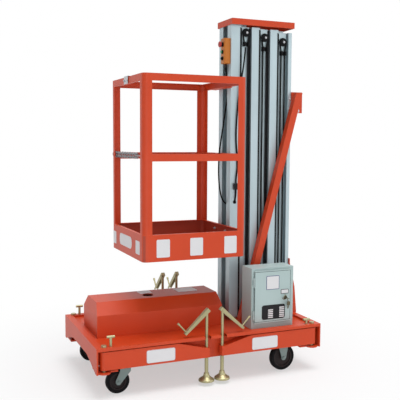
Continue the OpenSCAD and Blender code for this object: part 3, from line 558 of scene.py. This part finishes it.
# %% Painted shade in the grooves of the mast
for i, (body, top_z, outer) in enumerate((("stage_b", 1944, "stage_a"),
                                          ("stage_c", 1939, "stage_b"),
                                          ("chassis", 1928, "stage_c"))):
    x = 279 + 120.5 * i
    # Dark bars in and beside each groove: painted shade where the deep grooves lie in shadow.
    bars = [("near", body, x - 5.4, x - 0.6, 56, 64), ("strip_rim", body, x + 0.3, x + 5, 66.05, 67.6),
            ("lip", outer, x - 12.5, x - 6.6, 80.05, 81.2)]
    if body != "chassis":
        bars += [("edge", body, x + 48.5, x + 51.7, 66.05, 67.6),
                 ("far", body, x + 52.4, x + 61.6, 46.3, 62)]
    for s, end in ((-1, "front"), (1, "rear")):
        for part, owner, x0, x1, y0, y1 in bars:
            y_low, y_high = sorted((s * y0, s * y1))
            rounded_bar(f"seal_{part}_{end}_{i}", (x0, y_low, 282), (x1, y_high, top_z), owner,
                        black_moulding_and_shade, 0.4 if y1 - y0 < 2 else 1.0)

# %% [markdown]
# The door is a little smaller than the box behind it. A dark joint runs round it near the edge, as
# four thin bars.

# %% Joint round the door
door_low, door_high = (v * 1000 for v in (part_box("cabinet_door")[0] - MIDDLE,
                                          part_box("cabinet_door")[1] - MIDDLE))
x0, x1, z0, z1 = door_low.x + 7, door_high.x - 7, door_low.z + 7, door_high.z - 7
for name, a, b in (("left", (x0, z0), (x0 + 2, z1)), ("right", (x1 - 2, z0), (x1, z1)),
                   ("low", (x0 + 2, z0), (x1 - 2, z0 + 2)), ("high", (x0 + 2, z1 - 2), (x1 - 2, z1))):
    rounded_bar("door_joint_" + name, (a[0], door - 0.35, a[1]), (b[0], door + 0.4, b[1]),
                "cabinet_door", black_moulding_and_shade, 0.15)
print("door", [round(v) for v in (door_low.x, door_high.x, door_low.y, door_low.z, door_high.z)])

# %% [markdown]
# The basket hangs on a flat hook plate under its top rail, and rests on two pads behind its toe
# board. The plate is a block whose end is cut slanting, with a folded lip below its free edge.

# %% Basket bracket
deselect()
bpy.ops.mesh.primitive_cube_add(size=1)
hook = bpy.context.object
hook.name = "hook_plate"
for corner in hook.data.vertices:
    left, back, high = corner.co.x < 0, corner.co.y > 0, corner.co.z > 0
    corner.co = Vector((165.5 if left else 210.6, (110 if left else 124) if back else -99.5,
                        1607.8 if high else 1602.2)) / 1000
bpy.ops.object.mode_set(mode="EDIT")
bpy.ops.mesh.select_mode(type="FACE")
bpy.ops.mesh.select_all(action="DESELECT")
bpy.ops.object.mode_set(mode="OBJECT")
for face in hook.data.polygons:
    face.select = face.normal.z < -0.9
bpy.ops.object.mode_set(mode="EDIT")
bpy.ops.mesh.inset(thickness=0.004, depth=0)
bpy.ops.mesh.extrude_region_move(TRANSFORM_OT_translate={"value": (0, 0, 0.002)})
bpy.ops.object.mode_set(mode="OBJECT")
edges = hook.modifiers.new("edges", "BEVEL")
edges.width, edges.segments = 0.0012, 3
bpy.ops.object.modifier_apply(modifier="edges")
settle(hook, orange, "stage_a", Matrix.Translation(MIDDLE))
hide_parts("basket_bracket")
for i, y in enumerate((-76, 36)):
    rounded_bar(f"basket_pad_{i}", (208.1, y, 695), (210.9, y + 40, 795), "stage_a", orange, 0.8)
print("hook plate", [round(v * 1000) for v in hook.dimensions])

# %% [markdown]
# The gate end of the top rail opens. A bright strap bridges the split, and it is a folded sheet:
# a box without its lower and inner faces, given a wall by Solidify.

# %% Gate strap and its screws
deselect()
bpy.ops.mesh.primitive_cube_add(size=1)
strap = bpy.context.object
strap.name = "gate_strap"
strap.data.transform(Matrix.Translation((-0.3700, -0.006, 1.6285)) @ Matrix.Diagonal(
    (0.030, 0.070, 0.041, 1)))
bpy.ops.object.mode_set(mode="EDIT")
bpy.ops.mesh.select_mode(type="FACE")
bpy.ops.mesh.select_all(action="DESELECT")
bpy.ops.object.mode_set(mode="OBJECT")
for face in strap.data.polygons:
    face.select = face.normal.x > 0.9 or face.normal.z < -0.9 or abs(face.normal.y) > 0.9
bpy.ops.object.mode_set(mode="EDIT")
bpy.ops.mesh.delete(type="FACE")
bpy.ops.object.mode_set(mode="OBJECT")
wall = strap.modifiers.new("wall", "SOLIDIFY")
wall.thickness, wall.offset = 0.002, 1
bpy.ops.object.modifier_apply(modifier="wall")
edges = strap.modifiers.new("edges", "BEVEL")
edges.width, edges.segments = 0.0008, 2
bpy.ops.object.modifier_apply(modifier="edges")
settle(strap, bright_zinc, "stage_a", Matrix.Translation(MIDDLE))
for i, y in enumerate((-31, 19)):
    hex_screw(f"screw_strap_{i}", at(-387, y, 1626), (-1, 0, 0), 8, "stage_a")
rounded_bar("rail_split", (-382.6, -7, 1609), (-381.2, -5, 1647), "stage_a", black_moulding_and_shade, 0.3)
print("gate strap", [round(v * 1000) for v in strap.dimensions])

# %% [markdown]
# Two more plates lie on the flat top of the power cover, one on each side of the filler hole.

# %% Plates on the cover
for name, x, y, wide, high in (("oil", -264, 50, 75, 70), ("charge", -22, 28, 120, 96)):
    blank_plate("cover_plate_" + name, at(x, y, 437), (0, 0, 1), wide, high, "chassis",
                plate_white, border=3, radius=8, up=(0, 1, 0))

# %% [markdown]
# Below its clip, the platform cable runs into the mast through a grommet. This tail is a curve
# with a round section, short and held at both ends.

# %% Cable tail and grommet
tail_points = [(246, -86, 1024), (246, -86, 1008), (245, -86, 992), (243, -85.5, 976),
               (242, -83, 962), (241, -79, 950)]
tail_path = []
for i in range(len(tail_points) - 1):
    a, b = at(*tail_points[i]), at(*tail_points[i + 1])
    tail_path += [a.lerp(b, k / 3) for k in range(3)]
tail_path.append(at(*tail_points[-1]))
line = bpy.data.curves.new("cable_tail", "CURVE")
line.dimensions, line.bevel_depth = "3D", 0.0045
line.bevel_resolution, line.use_fill_caps = 4, True
spline = line.splines.new("POLY")
spline.points.add(len(tail_path) - 1)
for point, spot in zip(spline.points, tail_path):
    point.co = (*spot, 1)
tail = bpy.data.objects.new("cable_tail", line)
bpy.context.scene.collection.objects.link(tail)
line.materials.append(cable_jacket)
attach(tail, "stage_a")
turned("cable_grommet", at(241, -80, 951), (0, -1, 0),
       [(10, 0), (10, 1.5), (7, 3)], "stage_a", black_moulding_and_shade)
print("cable tail", round(sum((b - a).length for a, b in zip(tail_path, tail_path[1:])), 3), "m")

# %% [markdown]
# A pale floor carries a soft shadow. Around the machine it is plain matt white, and it fades to
# pure white by Light Path, which also keeps reflections pale. Three large soft lamps and an even
# surround light the machine at a level where a colour renders about as it is written. The light
# from above is a broad sun, because the mast rises to six metres and would pass any lamp there.

# %% Floor, world and lamps
deselect()
bpy.ops.mesh.primitive_plane_add(size=60, location=(0, 0, 0))
floor = bpy.context.object
floor.name = "floor"
floor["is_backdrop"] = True


def seen_white(tree, shader_output, fade=None):
    """Show plain white to the camera and to mirrors, and the real shader to everything else."""
    ray = tree.nodes.new("ShaderNodeLightPath")
    seen = ray.outputs["Is Camera Ray"]
    for other in ("Is Glossy Ray", "Is Transmission Ray"):
        either = tree.nodes.new("ShaderNodeMath")
        either.operation = "MAXIMUM"
        tree.links.new(seen, either.inputs[0])
        tree.links.new(ray.outputs[other], either.inputs[1])
        seen = either.outputs[0]
    if fade:
        both = tree.nodes.new("ShaderNodeMath")
        both.operation = "MULTIPLY"
        tree.links.new(seen, both.inputs[0])
        tree.links.new(fade, both.inputs[1])
        seen = both.outputs[0]
    pure = tree.nodes.new("ShaderNodeEmission" if fade else "ShaderNodeBackground")
    pure.inputs["Color"].default_value = (1, 1, 1, 1)
    choose = tree.nodes.new("ShaderNodeMixShader")
    tree.links.new(seen, choose.inputs[0])
    tree.links.new(shader_output, choose.inputs[1])
    tree.links.new(pure.outputs[0], choose.inputs[2])
    return choose.outputs[0]


floor_paint = bpy.data.materials.new("floor_paint")
floor_paint.use_nodes = True
tree = floor_paint.node_tree
shader = tree.nodes["Principled BSDF"]
shader.inputs["Base Color"].default_value = (0.86, 0.86, 0.86, 1)
shader.inputs["Roughness"].default_value = 0.9
place = tree.nodes.new("ShaderNodeTexCoord")
reach = tree.nodes.new("ShaderNodeVectorMath")
reach.operation = "LENGTH"
tree.links.new(place.outputs["Object"], reach.inputs[0])
fade = tree.nodes.new("ShaderNodeMapRange")
fade.interpolation_type = "SMOOTHSTEP"
fade.inputs["From Min"].default_value, fade.inputs["From Max"].default_value = 0.5, 1.9
fade.inputs["To Min"].default_value = 0.50
tree.links.new(reach.outputs["Value"], fade.inputs["Value"])
tree.links.new(seen_white(tree, shader.outputs[0], fade.outputs["Result"]),
               tree.nodes["Material Output"].inputs["Surface"])
floor.data.materials.append(floor_paint)

world = bpy.data.worlds.new("surround")
bpy.context.scene.world = world
world.use_nodes = True
tree = world.node_tree
surround = tree.nodes["Background"]
surround.inputs["Color"].default_value = (0.95, 0.97, 1.0, 1)
surround.inputs["Strength"].default_value = 0.42
tree.links.new(seen_white(tree, surround.outputs[0]), tree.nodes["World Output"].inputs["Surface"])

for name, place, size, power in (("key", (-1.0, -5.6, 1.6), 3.2, 36),
                                 ("low", (-1.3, -3.0, 0.5), 1.6, 6),
                                 ("fill", (3.6, -2.4, 2.2), 3.0, 24)):
    lamp = bpy.data.objects.new(name, bpy.data.lights.new(name, "AREA"))
    bpy.context.scene.collection.objects.link(lamp)
    lamp.data.size, lamp.data.energy = size, power
    lamp.location = place
    lamp.rotation_mode = "QUATERNION"
    lamp.rotation_quaternion = (Vector((0, 0, 0.9)) - Vector(place)).to_track_quat("-Z", "Y")
sky = bpy.data.objects.new("above", bpy.data.lights.new("above", "SUN"))
bpy.context.scene.collection.objects.link(sky)
sky.data.energy, sky.data.angle = 1.9, math.radians(34)
sky.rotation_euler = (math.radians(9), math.radians(4), 0)
bpy.context.scene.view_settings.view_transform = "Standard"

# %% [markdown]
# The last step prints the box round everything that is rendered, with the floor left out.
# Nothing that was added may reach outside it.

# %% Size of the dressed model
low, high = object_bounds()
print("visual box", [round(v, 4) for v in (*low, *high)])
